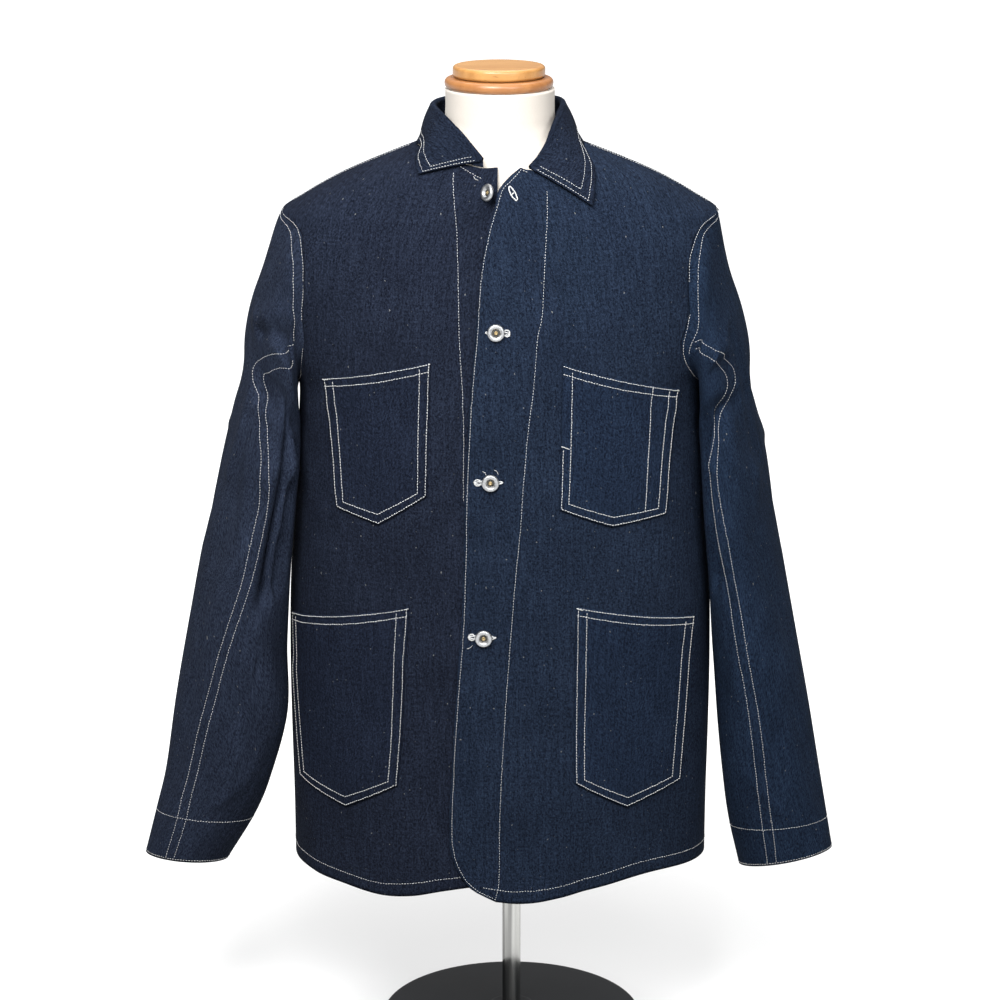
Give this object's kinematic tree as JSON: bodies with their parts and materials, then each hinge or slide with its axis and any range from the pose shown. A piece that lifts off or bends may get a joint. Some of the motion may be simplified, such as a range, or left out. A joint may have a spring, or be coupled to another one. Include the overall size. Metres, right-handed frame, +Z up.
{
  "type": "chore jacket on dress form",
  "caption": "Raw denim chore jacket with patch pockets and a turned-down collar, buttoned on a limbless dress form with a wooden neck cap, on a pole and round base.",
  "frame": {"origin": "middle of the base's underside, on the surface the stand rests on", "axes": "+Z up along the pole, -Y the way the jacket faces, +X the wearer's left side"},
  "size_m": [0.71, 0.2739, 1.0066],
  "materials": {
    "denim": "raw indigo twill, matt",
    "thread": "cotton topstitching",
    "button_metal": "pressed, satin",
    "form_cloth": "cream cotton jersey",
    "cap_wood": "honey lacquer, semi-gloss",
    "base_paint": "black, satin",
    "pole_chrome": "polished"
  },
  "bodies": {
    "root": {"back": "denim", "front_right": "denim", "front_left": "denim", "sleeve_right": "denim", "sleeve_left": "denim", "collar": "denim", "chest_pocket_right": "denim", "chest_pocket_left": "denim", "lower_pocket_right": "denim", "lower_pocket_left": "denim", "button_1": "button_metal", "button_2": "button_metal", "button_3": "button_metal", "button_4": "button_metal", "form_torso": "form_cloth", "cap_ring": "cap_wood", "cap_top": "cap_wood", "base": "base_paint", "pole_socket": "base_paint", "pole": "pole_chrome"}
  },
  "joints": []
}
